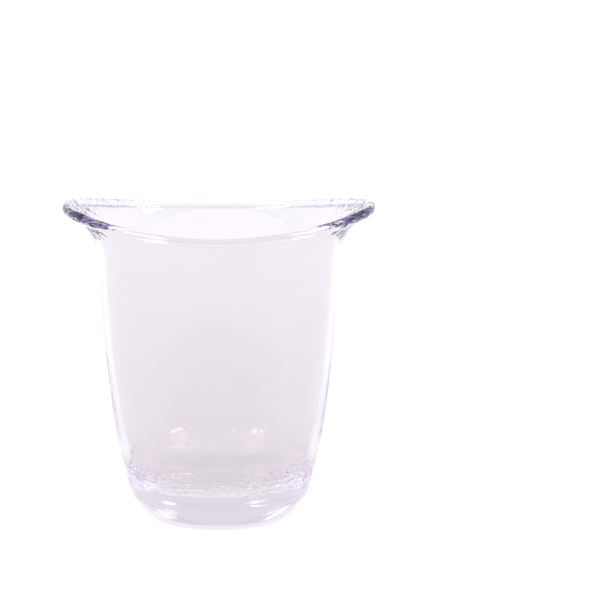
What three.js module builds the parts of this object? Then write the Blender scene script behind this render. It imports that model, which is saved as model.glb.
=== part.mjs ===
// Clear moulded champagne bucket: a round tapering vessel with a thick base,
// whose mouth sweeps out into two upturned ears for lifting.
//
// Millimetres, +Z up, origin at the centre of the underside.
// The ears point along +X and -X. The plain lips face +Y and -Y.
//
// The bucket is one moulding. It is divided here into named zones that meet
// with a small gap, so that each zone can be addressed by its name.

import * as THREE from 'three';

// ---- Driving dimensions ----------------------------------------------------

const REST_RADIUS = 44;        // flat disc that the bucket stands on
const HEEL_RADIUS = 63;        // outer radius where the rounded heel ends
const HEEL_HEIGHT = 20.3;
const HEEL_LOW_HANDLE = 7.3;   // pull of the heel's curve along the underside
const HEEL_HIGH_HANDLE = 5.9;  // and along the wall
const HEEL_SLOPE = 0.212;      // outer wall's lean from vertical at the heel, radians
const SHOULDER_RADIUS = 83;    // outer radius where the mouth starts to sweep out
const SHOULDER_HEIGHT = 178;
const SHOULDER_LEAN = 0.04;    // outer wall's lean from vertical there, radians
const OUTER_LOW_HANDLE = 12;   // pull of the outer wall's curve at the heel
const OUTER_HIGH_HANDLE = 122; // and at the shoulder

const FLOOR_HEIGHT = 26;       // top of the solid base, inside
const FLOOR_RADIUS = 46;       // flat part of the inner floor
const FLOOR_CORNER = 16;       // radius of the inner corner
const FLOOR_CORNER_SLOPE = 0.2; // inner wall's lean from vertical above the corner, radians
const INNER_LOW_HANDLE = 14;   // pull of the inner wall's curve at the corner
const INNER_HIGH_HANDLE = 100; // and at the shoulder

const WALL_THICKNESS = 3.8;    // at the shoulder; the wall thickens towards the base
const LIP_THICKNESS = 5.6;     // rounded bead along the plain lips
const EAR_THICKNESS = 8;       // rounded bead round the ears
const BEAD_START = 0.9;        // share of the sweep where the wall begins to swell into the bead

const EAR_REACH = 109;         // half length of the mouth, over the ears
const LIP_REACH = 84.5;        // half width of the mouth, over the lips
const LIP_HEIGHT = 210;        // top of the lips
const EAR_RISE = 12.8;         // ear tips above the lips
const EAR_TURN = 1.08;         // how far the ear's edge turns from upright, radians
const TURN_EASE = 0.6;         // power by which that turn grows from lip to ear
const SWEEP_LOW_HANDLE = 17;   // pull of the mouth's curve at the shoulder
const SWEEP_EDGE_HANDLE = 8;   // pull at the edge of a mouth that doesn't reach out
const SWEEP_EDGE_GROWTH = 0.4; // extra pull per millimetre that it reaches out
const MOUTH_PINCH = 0.04;      // share by which the oval draws in between lips and ears

const BASE_TOP = 48;           // height where the base zone meets the wall zone
const ZONE_GAP = 0.3;
const EAR_HALF_ANGLE = 38;     // each ear zone spans this much either side of X, degrees

const ROUND_STEPS = 64;        // facets around the body
const CURVE_STEPS = 7;
const SWEEP_STEPS = 10;
const EDGE_STEPS = 8;          // facets over the rounded edge
const EAR_SECTIONS = 16;
const LIP_SECTIONS = 18;
const HALVINGS = 40;           // steps of the search for a radius on a curve

const CLEAR_PLASTIC = { color: 0xece6ef, roughness: 0.04, metalness: 0 };

// ---- Body profile, as radius and height ------------------------------------

const point = (radius, height) => new THREE.Vector2(radius, height);

// A cubic curve that leaves `start` and reaches `end` along the given leans,
// measured from vertical, with handles of the given lengths.
function leaningCurve(start, startLean, startHandle, end, endLean, endHandle) {
  const leave = point(Math.sin(startLean), Math.cos(startLean));
  const arrive = point(Math.sin(endLean), Math.cos(endLean));
  const first = start.clone().addScaledVector(leave, startHandle);
  const second = end.clone().addScaledVector(arrive, -endHandle);
  return new THREE.CubicBezierCurve(start, first, second, end);
}

const heel = leaningCurve(
  point(REST_RADIUS, 0), Math.PI / 2, HEEL_LOW_HANDLE,
  point(HEEL_RADIUS, HEEL_HEIGHT), HEEL_SLOPE, HEEL_HIGH_HANDLE,
);
const outerWall = leaningCurve(
  point(HEEL_RADIUS, HEEL_HEIGHT), HEEL_SLOPE, OUTER_LOW_HANDLE,
  point(SHOULDER_RADIUS, SHOULDER_HEIGHT), SHOULDER_LEAN, OUTER_HIGH_HANDLE,
);

const cornerCentre = point(FLOOR_RADIUS, FLOOR_HEIGHT + FLOOR_CORNER);
const cornerEnd = point(
  cornerCentre.x + FLOOR_CORNER * Math.cos(FLOOR_CORNER_SLOPE),
  cornerCentre.y - FLOOR_CORNER * Math.sin(FLOOR_CORNER_SLOPE),
);
const innerWall = leaningCurve(
  cornerEnd, FLOOR_CORNER_SLOPE, INNER_LOW_HANDLE,
  point(SHOULDER_RADIUS - WALL_THICKNESS, SHOULDER_HEIGHT), SHOULDER_LEAN, INNER_HIGH_HANDLE,
);

// Radius of a rising curve at a given height, found by halving.
function radiusAt(curve, height) {
  let low = 0;
  let high = 1;
  for (let i = 0; i < HALVINGS; i += 1) {
    const middle = (low + high) / 2;
    if (curve.getPoint(middle).y < height) low = middle;
    else high = middle;
  }
  return curve.getPoint((low + high) / 2).x;
}

function wallPoints(curve, fromHeight, toHeight) {
  const points = [];
  for (let i = 0; i <= CURVE_STEPS; i += 1) {
    const height = THREE.MathUtils.lerp(fromHeight, toHeight, i / CURVE_STEPS);
    points.push(point(radiusAt(curve, height), height));
  }
  return points;
}

function cornerPoints() {
  const points = [];
  for (let i = 0; i <= CURVE_STEPS; i += 1) {
    const angle = THREE.MathUtils.lerp(-FLOOR_CORNER_SLOPE, -Math.PI / 2, i / CURVE_STEPS);
    points.push(point(
      cornerCentre.x + FLOOR_CORNER * Math.cos(angle),
      cornerCentre.y + FLOOR_CORNER * Math.sin(angle),
    ));
  }
  return points;
}

// Turns a profile of radius and height about +Z.
function turned(profile) {
  const geometry = new THREE.LatheGeometry(profile, ROUND_STEPS);
  geometry.rotateX(Math.PI / 2);
  return geometry;
}

function baseGeometry() {
  const [, ...outer] = wallPoints(outerWall, HEEL_HEIGHT, BASE_TOP);
  return turned([
    point(0, 0),
    ...heel.getPoints(CURVE_STEPS),
    ...outer,
    point(radiusAt(innerWall, BASE_TOP), BASE_TOP),
    ...cornerPoints(),
    point(0, FLOOR_HEIGHT),
  ]);
}

function wallGeometry() {
  const bottom = BASE_TOP + ZONE_GAP;
  const outer = wallPoints(outerWall, bottom, SHOULDER_HEIGHT);
  const inner = wallPoints(innerWall, bottom, SHOULDER_HEIGHT).reverse();
  return turned([...outer, ...inner, outer[0]]);
}

// ---- Mouth: lips and ears --------------------------------------------------

// Distance from the axis to the oval edge, in the direction of `azimuth`.
function mouthReach(azimuth) {
  const ellipse = 1 / Math.hypot(Math.cos(azimuth) / EAR_REACH, Math.sin(azimuth) / LIP_REACH);
  return ellipse * (1 - MOUTH_PINCH * Math.sin(2 * azimuth) ** 2);
}

// The edge rises from the lips to the ear tips with the square of X.
function mouthHeight(azimuth) {
  const x = mouthReach(azimuth) * Math.cos(azimuth);
  return LIP_HEIGHT + EAR_RISE * (x / EAR_REACH) ** 2;
}

// Closed outline of the mouth in the upright plane at `azimuth`: up the outside,
// over the full-round edge and down the inside.
function mouthSection(azimuth) {
  const reach = mouthReach(azimuth);
  const earShare = Math.max(0, (reach - LIP_REACH) / (EAR_REACH - LIP_REACH));
  const edgeThickness = THREE.MathUtils.lerp(LIP_THICKNESS, EAR_THICKNESS, earShare);
  const turn = THREE.MathUtils.lerp(SHOULDER_LEAN, EAR_TURN, earShare ** TURN_EASE);
  const bottom = SHOULDER_HEIGHT + ZONE_GAP;
  const start = point(SHOULDER_RADIUS - WALL_THICKNESS / 2, bottom);
  const end = point(reach - edgeThickness / 2, mouthHeight(azimuth) - edgeThickness / 2);
  const outreach = end.x - start.x;
  const edgeHandle = SWEEP_EDGE_HANDLE + SWEEP_EDGE_GROWTH * outreach;
  const sweep = leaningCurve(start, SHOULDER_LEAN, SWEEP_LOW_HANDLE, end, turn, edgeHandle);

  const outside = [point(SHOULDER_RADIUS, bottom)];
  const inside = [point(SHOULDER_RADIUS - WALL_THICKNESS, bottom)];
  for (let i = 1; i <= SWEEP_STEPS; i += 1) {
    const share = i / SWEEP_STEPS;
    const middle = sweep.getPoint(share);
    const along = sweep.getTangent(share);
    const swell = THREE.MathUtils.smoothstep(share, BEAD_START, 1);
    const half = THREE.MathUtils.lerp(WALL_THICKNESS, edgeThickness, swell) / 2;
    outside.push(point(middle.x + along.y * half, middle.y - along.x * half));
    inside.push(point(middle.x - along.y * half, middle.y + along.x * half));
  }
  const edge = [];
  for (let i = 1; i < EDGE_STEPS; i += 1) {
    const angle = (Math.PI * i) / EDGE_STEPS - turn;
    const radius = edgeThickness / 2;
    edge.push(point(end.x + radius * Math.cos(angle), end.y + radius * Math.sin(angle)));
  }
  return [...outside, ...edge, ...inside.reverse()];
}

// Solid through the mouth sections between two azimuths, given in degrees.
function mouthGeometry(fromDegrees, toDegrees, sections) {
  const gapAngle = ZONE_GAP / 2 / SHOULDER_RADIUS;
  const from = THREE.MathUtils.degToRad(fromDegrees) + gapAngle;
  const to = THREE.MathUtils.degToRad(toDegrees) - gapAngle;
  const positions = [];
  const indices = [];
  let outline = [];
  for (let i = 0; i <= sections; i += 1) {
    const azimuth = THREE.MathUtils.lerp(from, to, i / sections);
    outline = mouthSection(azimuth);
    for (const { x: radius, y: height } of outline) {
      positions.push(radius * Math.cos(azimuth), radius * Math.sin(azimuth), height);
    }
  }
  const count = outline.length;
  for (let i = 0; i < sections; i += 1) {
    for (let j = 0; j < count; j += 1) {
      const a = i * count + j;
      const b = i * count + ((j + 1) % count);
      indices.push(a, a + count, b + count, a, b + count, b);
    }
  }
  for (const [a, b, c] of THREE.ShapeUtils.triangulateShape(mouthSection(from), [])) {
    indices.push(a, b, c);
  }
  const last = sections * count;
  for (const [a, b, c] of THREE.ShapeUtils.triangulateShape(mouthSection(to), [])) {
    indices.push(last + a, last + c, last + b);
  }
  const geometry = new THREE.BufferGeometry();
  geometry.setAttribute('position', new THREE.Float32BufferAttribute(positions, 3));
  geometry.setIndex(indices);
  geometry.computeVertexNormals();
  return geometry;
}

// ---- Assembly --------------------------------------------------------------

function zone(name, geometry) {
  const mesh = new THREE.Mesh(geometry, new THREE.MeshStandardMaterial(CLEAR_PLASTIC));
  mesh.name = name;
  return mesh;
}

const bucket = new THREE.Group();
bucket.name = 'champagne_bucket';
bucket.add(
  zone('base', baseGeometry()),
  zone('wall', wallGeometry()),
  zone('ear_right', mouthGeometry(-EAR_HALF_ANGLE, EAR_HALF_ANGLE, EAR_SECTIONS)),
  zone('lip_back', mouthGeometry(EAR_HALF_ANGLE, 180 - EAR_HALF_ANGLE, LIP_SECTIONS)),
  zone('ear_left', mouthGeometry(180 - EAR_HALF_ANGLE, 180 + EAR_HALF_ANGLE, EAR_SECTIONS)),
  zone('lip_front', mouthGeometry(180 + EAR_HALF_ANGLE, 360 - EAR_HALF_ANGLE, LIP_SECTIONS)),
);

export default bucket;
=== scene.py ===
# A clear moulded champagne bucket. Metres, +Z up, ears along X, plain lips along Y.
import math

import bpy
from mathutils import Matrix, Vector, noise


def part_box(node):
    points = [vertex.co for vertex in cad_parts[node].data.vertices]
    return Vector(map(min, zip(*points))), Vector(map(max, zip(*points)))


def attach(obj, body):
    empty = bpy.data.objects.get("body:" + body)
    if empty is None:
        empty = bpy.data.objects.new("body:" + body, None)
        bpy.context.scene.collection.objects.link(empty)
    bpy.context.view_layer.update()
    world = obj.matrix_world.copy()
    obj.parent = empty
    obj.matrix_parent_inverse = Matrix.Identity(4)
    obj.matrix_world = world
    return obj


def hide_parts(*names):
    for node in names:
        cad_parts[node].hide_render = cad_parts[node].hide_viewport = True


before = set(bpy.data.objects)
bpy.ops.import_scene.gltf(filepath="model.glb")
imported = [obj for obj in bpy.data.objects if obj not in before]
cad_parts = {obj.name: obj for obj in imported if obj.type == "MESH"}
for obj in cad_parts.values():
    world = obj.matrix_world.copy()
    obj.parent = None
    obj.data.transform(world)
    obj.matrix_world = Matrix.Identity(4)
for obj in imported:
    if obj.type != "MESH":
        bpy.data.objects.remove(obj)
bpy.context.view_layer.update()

MM = 0.001

# ---- Sizes from the frame ---------------------------------------------------

_, WALL_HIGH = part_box("wall")
_, EAR_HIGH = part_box("ear_right")
_, LIP_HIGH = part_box("lip_back")

SKIN = 0.01 * MM                      # keeps the visible surface inside the CAD box
SHOULDER_RADIUS = WALL_HIGH[0]
SHOULDER_HEIGHT = WALL_HIGH[2]
EAR_REACH = EAR_HIGH[0] - SKIN
LIP_REACH = LIP_HIGH[1] - SKIN
EAR_HEIGHT = EAR_HIGH[2] - 3 * SKIN

# ---- Sizes that the boxes don't give ---------------------------------------

EAR_RISE = 12.8 * MM
MOUTH_PINCH = 0.04
REST_RADIUS = 44 * MM
HEEL_RADIUS = 63 * MM
HEEL_HEIGHT = 20.3 * MM
HEEL_SLOPE = 0.212
SHOULDER_LEAN = 0.04
FLOOR_HEIGHT = 26 * MM
FLOOR_RADIUS = 46 * MM
FLOOR_CORNER = 16 * MM
FLOOR_CORNER_SLOPE = 0.2
WALL_THICKNESS = 3.8 * MM
LIP_THICKNESS = 5.6 * MM
EAR_THICKNESS = 8 * MM
BEAD_START = 0.9                      # share of the mouth's sweep where its bead begins
EAR_TURN = 1.08                       # turn of the ear's edge from upright, radians
TURN_EASE = 0.6                       # power by which that turn grows from lip to ear

# Pull of each curve at its lower and upper end.
HEEL_LOW_HANDLE = 7.3 * MM
HEEL_HIGH_HANDLE = 5.9 * MM
OUTER_LOW_HANDLE = 12 * MM
OUTER_HIGH_HANDLE = 122 * MM
INNER_LOW_HANDLE = 14 * MM
INNER_HIGH_HANDLE = 100 * MM
SWEEP_LOW_HANDLE = 17 * MM
SWEEP_EDGE_HANDLE = 8 * MM
SWEEP_EDGE_GROWTH = 0.4               # extra pull per metre that the mouth reaches out

GATE_RADIUS = 2.6 * MM                # mark left by the moulding gate, under the base
GATE_DEPTH = 0.35 * MM
GATE_EDGE = 1.08                      # outer edge of the mark, as a share of its radius

# Fine ripple of the moulded surface, strongest at the inner corner and the ears.
RIPPLE_CORNER = 0.48 * MM
RIPPLE_EAR = 0.40 * MM
RIPPLE_WALL = 0.012 * MM
RIPPLE_SIZE = 5 * MM
FINE_RIPPLE = 2.2                     # how much finer the second ripple is than the first
CORNER_HEIGHTS = (56 * MM, 44 * MM)   # the corner's ripple starts and is full at these
CORNER_RADII = (40 * MM, 50 * MM)
EAR_RADII = (84 * MM, 96 * MM)

ROUND_STEPS = 480
UNDERSIDE_STEPS = 14
HEEL_STEPS = 26
WALL_STEPS = 40
CORNER_STEPS = 26
FLOOR_STEPS = 22
SWEEP_STEPS = 36
EDGE_STEPS = 16


# ---- The moulding ----------------------------------------------------------

def mix(a, b, share):
    return a + (b - a) * share


def smooth(low, high, value):
    share = min(1.0, max(0.0, (value - low) / (high - low)))
    return share * share * (3 - 2 * share)


def leaning_curve(start, start_lean, start_handle, end, end_lean, end_handle):
    """A cubic curve of radius and height, with its leans measured from vertical."""
    first = start + Vector((math.sin(start_lean), math.cos(start_lean))) * start_handle
    second = end - Vector((math.sin(end_lean), math.cos(end_lean))) * end_handle
    return start, first, second, end


def curve_point(curve, t):
    a, b, c, d = curve
    u = 1 - t
    return a * u**3 + b * (3 * u * u * t) + c * (3 * u * t * t) + d * t**3


def curve_tangent(curve, t):
    a, b, c, d = curve
    u = 1 - t
    return ((b - a) * (u * u) + (c - b) * (2 * u * t) + (d - c) * (t * t)).normalized()


def samples(curve, steps, skip_first=True):
    return [curve_point(curve, i / steps) for i in range(1 if skip_first else 0, steps + 1)]


def underside():
    """From the axis to the edge of the flat underside, with the gate mark."""
    points = [Vector((0.0, GATE_DEPTH))]
    for share in (0.45, 0.75, 0.9):
        points.append(Vector((GATE_RADIUS * share, GATE_DEPTH)))
    points.append(Vector((GATE_RADIUS, GATE_DEPTH * 0.5)))
    points.append(Vector((GATE_RADIUS * GATE_EDGE, 0.0)))
    for i in range(1, UNDERSIDE_STEPS):
        radius = mix(GATE_RADIUS * GATE_EDGE, REST_RADIUS, i / UNDERSIDE_STEPS)
        points.append(Vector((radius, 0.0)))
    return points


def body_outside():
    heel = leaning_curve(
        Vector((REST_RADIUS, 0.0)), math.pi / 2, HEEL_LOW_HANDLE,
        Vector((HEEL_RADIUS, HEEL_HEIGHT)), HEEL_SLOPE, HEEL_HIGH_HANDLE)
    wall = leaning_curve(
        Vector((HEEL_RADIUS, HEEL_HEIGHT)), HEEL_SLOPE, OUTER_LOW_HANDLE,
        Vector((SHOULDER_RADIUS, SHOULDER_HEIGHT)), SHOULDER_LEAN, OUTER_HIGH_HANDLE)
    return samples(heel, HEEL_STEPS, skip_first=False) + samples(wall, WALL_STEPS)


def body_inside():
    """From the shoulder down the inner wall, round the corner and across the floor."""
    centre = Vector((FLOOR_RADIUS, FLOOR_HEIGHT + FLOOR_CORNER))
    corner_top = centre + FLOOR_CORNER * Vector(
        (math.cos(FLOOR_CORNER_SLOPE), -math.sin(FLOOR_CORNER_SLOPE)))
    wall = leaning_curve(
        corner_top, FLOOR_CORNER_SLOPE, INNER_LOW_HANDLE,
        Vector((SHOULDER_RADIUS - WALL_THICKNESS, SHOULDER_HEIGHT)),
        SHOULDER_LEAN, INNER_HIGH_HANDLE)
    points = list(reversed(samples(wall, WALL_STEPS, skip_first=False)))
    for i in range(1, CORNER_STEPS + 1):
        angle = mix(-FLOOR_CORNER_SLOPE, -math.pi / 2, i / CORNER_STEPS)
        points.append(centre + FLOOR_CORNER * Vector((math.cos(angle), math.sin(angle))))
    for i in range(1, FLOOR_STEPS + 1):
        points.append(Vector((FLOOR_RADIUS * (1 - i / FLOOR_STEPS), FLOOR_HEIGHT)))
    return points


def mouth_reach(azimuth):
    ellipse = 1 / math.hypot(math.cos(azimuth) / EAR_REACH, math.sin(azimuth) / LIP_REACH)
    return ellipse * (1 - MOUTH_PINCH * math.sin(2 * azimuth) ** 2)


def mouth(azimuth):
    """Up the outside of the mouth, over its rounded edge and down the inside."""
    reach = mouth_reach(azimuth)
    ear_share = max(0.0, (reach - LIP_REACH) / (EAR_REACH - LIP_REACH))
    thickness = mix(LIP_THICKNESS, EAR_THICKNESS, ear_share)
    turn = mix(SHOULDER_LEAN, EAR_TURN, ear_share**TURN_EASE)
    x = reach * math.cos(azimuth)
    height = EAR_HEIGHT - EAR_RISE * (1 - (x / EAR_REACH) ** 2)
    start = Vector((SHOULDER_RADIUS - WALL_THICKNESS / 2, SHOULDER_HEIGHT))
    end = Vector((reach - thickness / 2, height - thickness / 2))
    edge_handle = SWEEP_EDGE_HANDLE + SWEEP_EDGE_GROWTH * (end.x - start.x)
    sweep = leaning_curve(start, SHOULDER_LEAN, SWEEP_LOW_HANDLE, end, turn, edge_handle)
    outside, edge, inside = [], [], []
    for i in range(1, SWEEP_STEPS + 1):
        share = i / SWEEP_STEPS
        middle = curve_point(sweep, share)
        along = curve_tangent(sweep, share)
        half = mix(WALL_THICKNESS, thickness, smooth(BEAD_START, 1.0, share)) / 2
        across = Vector((along.y, -along.x)) * half
        outside.append(middle + across)
        inside.append(middle - across)
    for i in range(1, EDGE_STEPS):
        angle = math.pi * i / EDGE_STEPS - turn
        edge.append(end + Vector((math.cos(angle), math.sin(angle))) * (thickness / 2))
    return outside + edge + list(reversed(inside))


def ripple(place, inside):
    """How far the moulded surface sinks below its true place."""
    radius = math.hypot(place.x, place.y)
    corner = smooth(*CORNER_HEIGHTS, place.z) * smooth(*CORNER_RADII, radius) * inside
    ear = smooth(*EAR_RADII, radius)
    amount = max(RIPPLE_WALL, RIPPLE_CORNER * corner, RIPPLE_EAR * ear)
    grain = Vector((place.x, place.y, place.z * 2)) / RIPPLE_SIZE
    coarse = noise.noise(grain)
    fine = noise.noise(grain * FINE_RIPPLE + Vector((7, 3, 1)))
    return amount * max(0.0, 0.7 + 0.7 * coarse + 0.4 * fine)


def moulding():
    """The whole bucket as one closed, seamless mesh, turned section by section."""
    below = underside() + body_outside()
    inside = body_inside()
    verts, faces = [], []
    count = 0
    for k in range(ROUND_STEPS):
        azimuth = 2 * math.pi * k / ROUND_STEPS
        section = below + mouth(azimuth) + inside
        count = len(section) - 2
        for radius, height in section[1:-1]:
            verts.append(Vector((radius * math.cos(azimuth), radius * math.sin(azimuth), height)))
    bottom = len(verts)
    verts += [Vector((0, 0, GATE_DEPTH)), Vector((0, 0, FLOOR_HEIGHT))]
    for k in range(ROUND_STEPS):
        here, after = k * count, ((k + 1) % ROUND_STEPS) * count
        faces.append((bottom, after, here))
        faces.append((bottom + 1, here + count - 1, after + count - 1))
        for j in range(count - 1):
            faces.append((here + j, after + j, after + j + 1, here + j + 1))
    mesh = bpy.data.meshes.new("bucket")
    mesh.from_pydata([tuple(v) for v in verts], [], faces)
    mesh.update()
    first_inside = count - len(inside)
    sinks = []
    for vertex in mesh.vertices:
        on_inside = 1.0 if vertex.index % count > first_inside or vertex.index > bottom else 0.0
        flat = vertex.co.z < HEEL_HEIGHT
        sinks.append(vertex.normal * (0.0 if flat else ripple(vertex.co, on_inside)))
    for vertex, sink in zip(mesh.vertices, sinks):
        vertex.co -= sink
    mesh.shade_smooth()
    mesh.update()
    piece = bpy.data.objects.new("bucket", mesh)
    bpy.context.scene.collection.objects.link(piece)
    return piece


# ---- Materials -------------------------------------------------------------

PLASTIC_IOR = 1.49
PLASTIC_TINT = (0.62, 0.52, 0.86, 1)          # lavender that shows along long paths
PLASTIC_TINT_DENSITY = 2.0
TONE_DARK = (0.884, 0.861, 0.880, 1)
TONE_PALE = (0.895, 0.875, 0.891, 1)
TONE_DEEP = (0.815, 0.785, 0.799, 1)          # towards the thick base
DEEP_HEIGHTS = (0.20, 0.04)
ROUGHNESS_RANGE = (0.004, 0.05)
CREASE_DEPTH = 0.0018
EAR_CREASE = 0.8                              # creases on the ears, next to 1 in the corner

PAPER_TONES = (0.26, 0.30)
PAPER_GLOW_AND_PAINTED_SHADOW = (0.76, 0.86)                     # painted contact shadow under the bucket, and the even glow away from it


def new_material(name):
    material = bpy.data.materials.new(name)
    material.use_nodes = True
    nodes, links = material.node_tree.nodes, material.node_tree.links
    return material, nodes, links, nodes["Principled BSDF"], nodes["Material Output"]


def noise_node(nodes, links, place, scale, detail):
    node = nodes.new("ShaderNodeTexNoise")
    node.inputs["Scale"].default_value = scale
    node.inputs["Detail"].default_value = detail
    links.new(place, node.inputs["Vector"])
    return node.outputs["Fac"]


def stretched(nodes, links, place, scales):
    node = nodes.new("ShaderNodeMapping")
    node.inputs["Scale"].default_value = scales
    links.new(place, node.inputs["Vector"])
    return node.outputs["Vector"]


def ranged(nodes, links, value, low, high, least=0.0, most=1.0, eased=False):
    """Takes `low`..`high` to `least`..`most`, and holds it level beyond them."""
    node = nodes.new("ShaderNodeMapRange")
    if eased:
        node.interpolation_type = "SMOOTHSTEP"
    node.inputs["From Min"].default_value = low
    node.inputs["From Max"].default_value = high
    node.inputs["To Min"].default_value = least
    node.inputs["To Max"].default_value = most
    links.new(value, node.inputs["Value"])
    return node.outputs["Result"]


def joined(nodes, links, operation, first, second):
    node = nodes.new("ShaderNodeMath")
    node.operation = operation
    links.new(first, node.inputs[0])
    links.new(second, node.inputs[1])
    return node.outputs["Value"]


def blended(nodes, links, factor, first, second):
    """A colour between two others, each of them a fixed colour or a node's output."""
    node = nodes.new("ShaderNodeMix")
    node.data_type = "RGBA"
    links.new(factor, node.inputs["Factor"])
    for name, colour in (("A", first), ("B", second)):
        if isinstance(colour, tuple):
            node.inputs[name].default_value = colour
        else:
            links.new(colour, node.inputs[name])
    return node.outputs["Result"]


def bump_node(nodes, links, height, strength, distance):
    node = nodes.new("ShaderNodeBump")
    node.inputs["Strength"].default_value = strength
    node.inputs["Distance"].default_value = distance
    links.new(height, node.inputs["Height"])
    return node


def crease_share(nodes, links, parts):
    """1 at the inner corner, EAR_CREASE on the ears and 0 on the rest, outside walls included."""
    flat = nodes.new("ShaderNodeCombineXYZ")
    links.new(parts.outputs["X"], flat.inputs["X"])
    links.new(parts.outputs["Y"], flat.inputs["Y"])
    length = nodes.new("ShaderNodeVectorMath")
    length.operation = "LENGTH"
    links.new(flat.outputs["Vector"], length.inputs[0])
    radius, height = length.outputs["Value"], parts.outputs["Z"]
    limits = [
        ranged(nodes, links, height, 0.060, 0.042),
        ranged(nodes, links, height, 0.0235, 0.0265),
        ranged(nodes, links, radius, 0.0645, 0.0628),
        ranged(nodes, links, radius, 0.036, 0.046),
    ]
    corner = limits[0]
    for limit in limits[1:]:
        corner = joined(nodes, links, "MULTIPLY", corner, limit)
    ear = ranged(nodes, links, radius, 0.088, 0.097, most=EAR_CREASE)
    return joined(nodes, links, "MAXIMUM", corner, ear)


def clear_plastic():
    """Clear acrylic: faint lavender in the thick parts, hairline scratches, smudges and creases."""
    material, nodes, links, shader, output = new_material("clear_plastic")
    shader.inputs["Transmission Weight"].default_value = 1.0
    shader.inputs["IOR"].default_value = PLASTIC_IOR
    place = nodes.new("ShaderNodeTexCoord").outputs["Object"]
    parts = nodes.new("ShaderNodeSeparateXYZ")
    links.new(place, parts.inputs["Vector"])

    smudge = noise_node(nodes, links, place, 38, 4)
    scratch = noise_node(nodes, links, stretched(nodes, links, place, (90, 90, 1800)), 1.0, 2)
    wear = joined(nodes, links, "MULTIPLY", smudge, scratch)
    rough = ranged(nodes, links, wear, 0.15, 0.45, *ROUGHNESS_RANGE)
    links.new(rough, shader.inputs["Roughness"])

    tone = nodes.new("ShaderNodeValToRGB")
    low, high = tone.color_ramp.elements
    low.position, low.color = 0.3, TONE_DARK
    high.position, high.color = 0.7, TONE_PALE
    links.new(smudge, tone.inputs["Fac"])
    depth = ranged(nodes, links, parts.outputs["Z"], *DEEP_HEIGHTS)
    colour = blended(nodes, links, depth, tone.outputs["Color"], TONE_DEEP)
    links.new(colour, shader.inputs["Base Color"])

    flow = bump_node(nodes, links, noise_node(nodes, links, place, 60, 2), 0.12, 0.0004)
    crease = noise_node(nodes, links, stretched(nodes, links, place, (120, 120, 420)), 1.0, 2)
    creased = joined(nodes, links, "MULTIPLY", crease, crease_share(nodes, links, parts))
    creases = bump_node(nodes, links, creased, 1.0, CREASE_DEPTH)
    links.new(flow.outputs["Normal"], creases.inputs["Normal"])
    links.new(creases.outputs["Normal"], shader.inputs["Normal"])

    tint = nodes.new("ShaderNodeVolumeAbsorption")
    tint.inputs["Color"].default_value = PLASTIC_TINT
    tint.inputs["Density"].default_value = PLASTIC_TINT_DENSITY
    links.new(tint.outputs["Volume"], output.inputs["Volume"])
    return material


def floor_paper():
    """White sweep paper that glows evenly, with a painted contact shadow where the glow dims under
    the bucket.
    """
    material, nodes, links, shader, _ = new_material("floor_paper")
    grain = nodes.new("ShaderNodeTexNoise")
    grain.inputs["Scale"].default_value = 220
    tone = ranged(nodes, links, grain.outputs["Fac"], 0.0, 1.0, *PAPER_TONES)
    links.new(tone, shader.inputs["Base Color"])
    shader.inputs["Roughness"].default_value = 0.9
    shader.inputs["Specular IOR Level"].default_value = 0.1
    shader.inputs["Emission Color"].default_value = (1, 1, 1, 1)
    reach = nodes.new("ShaderNodeVectorMath")
    reach.operation = "LENGTH"
    links.new(nodes.new("ShaderNodeTexCoord").outputs["Object"], reach.inputs[0])
    # the glow dims under the bucket: a painted contact shadow on the floor
    glow_and_painted_shadow = ranged(nodes, links, reach.outputs["Value"],
                  REST_RADIUS * 0.9, REST_RADIUS * 1.35, *PAPER_GLOW_AND_PAINTED_SHADOW, eased=True)
    links.new(glow_and_painted_shadow, shader.inputs["Emission Strength"])
    return material


# ---- Studio ----------------------------------------------------------------

LIGHT_PATHS = 64                              # bounces, so that the thick ears don't go black
SOFTBOX_SIZE = (0.45, 0.8)
SOFTBOX_TARGET = (0, 0, 0.12)
EYE_PLACE = (0.0565, -2.9517, 0.6972)
EYE_DROP = 10.44                              # degrees below level


def floor():
    bpy.ops.mesh.primitive_circle_add(vertices=96, radius=8, fill_type="NGON")
    sweep = bpy.context.object
    sweep.name = "floor"
    sweep.data.materials.append(floor_paper())


SKY_STOPS = (                                 # from the floor's level up to the zenith
    (0.30, (1.0, 1.0, 1.0, 1)),
    (0.46, (0.95, 0.93, 1.0, 1)),
    (0.58, (0.60, 0.54, 0.88, 1)),
    (0.80, (0.54, 0.47, 0.82, 1)),
    (0.97, (0.60, 0.53, 0.86, 1)),
)
SKY_PATCH = (1.0, 0.97, 1.0, 1)
SKY_FRONT = (0.30, 0.27, 0.38, 1)


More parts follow.
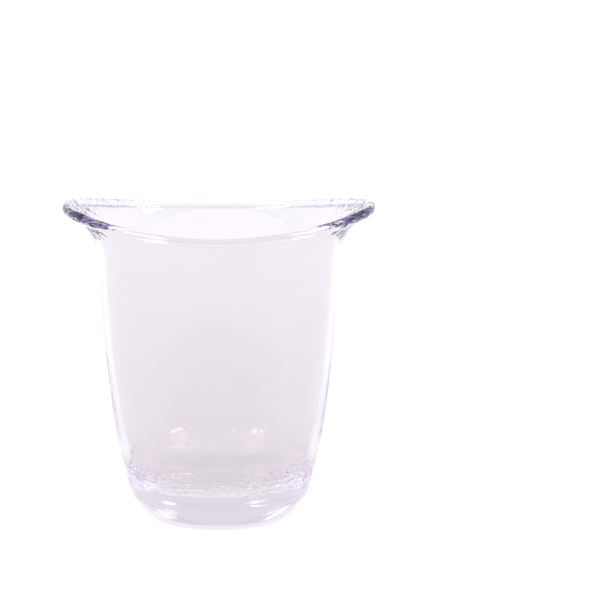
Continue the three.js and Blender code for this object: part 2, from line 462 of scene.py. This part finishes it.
def sky():
    """White round the back and sides, a lavender ceiling with soft white patches, a dim front."""
    world = bpy.data.worlds.new("studio")
    world.use_nodes = True
    bpy.context.scene.world = world
    nodes, links = world.node_tree.nodes, world.node_tree.links
    place = nodes.new("ShaderNodeTexCoord").outputs["Generated"]
    parts = nodes.new("ShaderNodeSeparateXYZ")
    links.new(place, parts.inputs["Vector"])

    ramp = nodes.new("ShaderNodeValToRGB")
    links.new(parts.outputs["Z"], ramp.inputs["Fac"])
    stops = ramp.color_ramp.elements
    stops[0].position, stops[0].color = SKY_STOPS[0]
    stops[1].position, stops[1].color = SKY_STOPS[-1]
    for height, colour in SKY_STOPS[1:-1]:
        stops.new(height).color = colour

    patches = ranged(nodes, links, noise_node(nodes, links, place, 3.5, 1), 0.46, 0.60, eased=True)
    ceiling = blended(nodes, links, patches, ramp.outputs["Color"], SKY_PATCH)
    front = ranged(nodes, links, parts.outputs["Y"], -0.55, -0.10)
    colour = blended(nodes, links, front, SKY_FRONT, ceiling)
    links.new(colour, nodes["Background"].inputs["Color"])
    nodes["Background"].inputs["Strength"].default_value = 1.0


def softbox(name, place, power):
    """A soft area light that faces the bucket's middle."""
    lamp = bpy.data.lights.new(name, "AREA")
    lamp.shape = "RECTANGLE"
    lamp.size, lamp.size_y = SOFTBOX_SIZE
    lamp.energy = power
    holder = bpy.data.objects.new(name, lamp)
    holder.location = place
    aim = Vector(SOFTBOX_TARGET) - Vector(place)
    holder.rotation_euler = aim.to_track_quat("-Z", "Y").to_euler()
    bpy.context.scene.collection.objects.link(holder)


def camera():
    """A long lens, 3 m away, looking 10.4 degrees down, with the bucket left of centre."""
    lens = bpy.data.cameras.new("camera")
    lens.lens = 258
    lens.sensor_width = 36
    lens.clip_end = 50
    eye = bpy.data.objects.new("camera", lens)
    eye.location = EYE_PLACE
    eye.rotation_euler = (math.radians(90 - EYE_DROP), 0, 0)
    bpy.context.scene.collection.objects.link(eye)
    bpy.context.scene.camera = eye


def studio():
    floor()
    sky()
    softbox("softbox_left", (-1.1, -0.9, 1.1), 16)
    softbox("softbox_right", (1.3, -0.7, 1.0), 14)
    camera()
    scene = bpy.context.scene
    scene.view_settings.view_transform = "Standard"
    scene.cycles.max_bounces = LIGHT_PATHS
    scene.cycles.transmission_bounces = LIGHT_PATHS
    scene.cycles.glossy_bounces = LIGHT_PATHS


# ---- Assembly --------------------------------------------------------------

bucket = moulding()
bucket.data.materials.append(clear_plastic())
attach(bucket, "root")
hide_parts("base", "wall", "ear_left", "ear_right", "lip_front", "lip_back")
studio()
